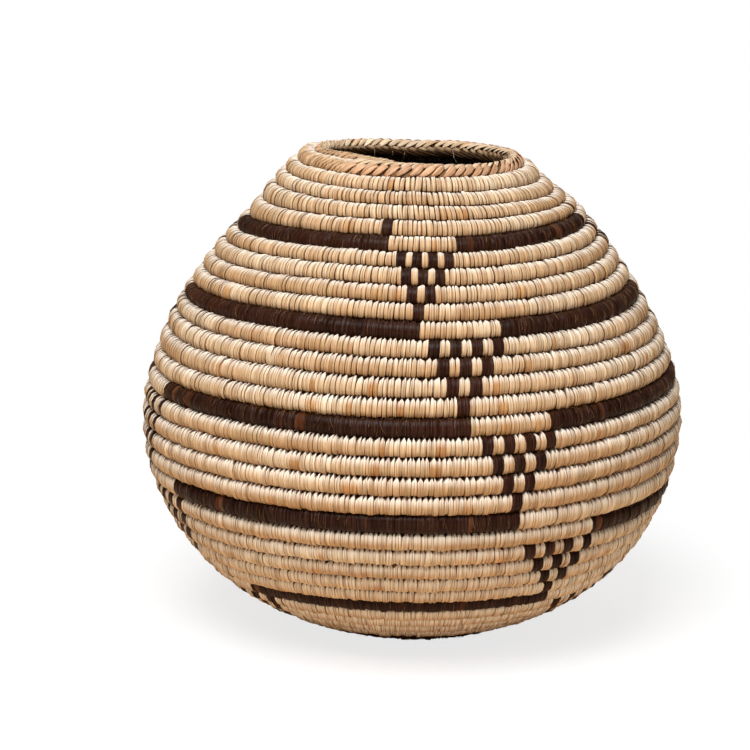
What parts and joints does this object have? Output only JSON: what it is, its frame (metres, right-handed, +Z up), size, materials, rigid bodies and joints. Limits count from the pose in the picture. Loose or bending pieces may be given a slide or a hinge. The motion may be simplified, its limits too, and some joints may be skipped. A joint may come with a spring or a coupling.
{
  "type": "coiled basket",
  "caption": "Round-bellied coiled palm-leaf basket with a small flat foot, a narrow open mouth with a braided rim, and broken dark bands.",
  "frame": {"origin": "centre of the foot, on the surface that the basket stands on", "axes": "+Z up along the basket's axis through the mouth; the front, as pictured, faces -Y and +X is to its right"},
  "size_m": [0.2981, 0.2982, 0.2665],
  "materials": {
    "natural_palm": "satin",
    "dyed_palm": "satin",
    "braided_palm": "satin"
  },
  "bodies": {
    "root": {"rim_braid": "braided_palm", "natural_rows_1": "natural_palm", "band_1_dyed_arc_1": "dyed_palm", "band_1_light_break_1": "natural_palm", "band_1_dyed_arc_2": "dyed_palm", "band_1_light_break_2": "natural_palm", "band_1_dyed_arc_3": "dyed_palm", "band_1_light_break_3": "natural_palm", "band_1_dyed_arc_4": "dyed_palm", "natural_rows_2": "natural_palm", "band_2_dyed_arc_1": "dyed_palm", "band_2_light_break_1": "natural_palm", "band_2_dyed_arc_2": "dyed_palm", "band_2_light_break_2": "natural_palm", "band_2_dyed_arc_3": "dyed_palm", "band_2_light_break_3": "natural_palm", "band_2_dyed_arc_4": "dyed_palm", "natural_rows_3": "natural_palm", "band_3_dyed_arc_1": "dyed_palm", "band_3_light_break_1": "natural_palm", "band_3_dyed_arc_2": "dyed_palm", "band_3_light_break_2": "natural_palm", "band_3_dyed_arc_3": "dyed_palm", "band_3_light_break_3": "natural_palm", "band_3_dyed_arc_4": "dyed_palm", "natural_rows_4": "natural_palm", "band_4_dyed_arc_1": "dyed_palm", "band_4_light_break_1": "natural_palm", "band_4_dyed_arc_2": "dyed_palm", "band_4_light_break_2": "natural_palm", "band_4_dyed_arc_3": "dyed_palm", "band_4_light_break_3": "natural_palm", "band_4_dyed_arc_4": "dyed_palm", "natural_rows_5": "natural_palm", "band_5_dyed_arc_1": "dyed_palm", "band_5_light_break_1": "natural_palm", "band_5_dyed_arc_2": "dyed_palm", "band_5_light_break_2": "natural_palm", "band_5_dyed_arc_3": "dyed_palm", "band_5_light_break_3": "natural_palm", "band_5_dyed_arc_4": "dyed_palm", "natural_rows_6": "natural_palm", "band_6_dyed_arc_1": "dyed_palm", "band_6_light_break_1": "natural_palm", "band_6_dyed_arc_2": "dyed_palm", "band_6_light_break_2": "natural_palm", "band_6_dyed_arc_3": "dyed_palm", "band_6_light_break_3": "natural_palm", "band_6_dyed_arc_4": "dyed_palm", "foot_rows": "natural_palm", "start_knot": "natural_palm"}
  },
  "joints": []
}
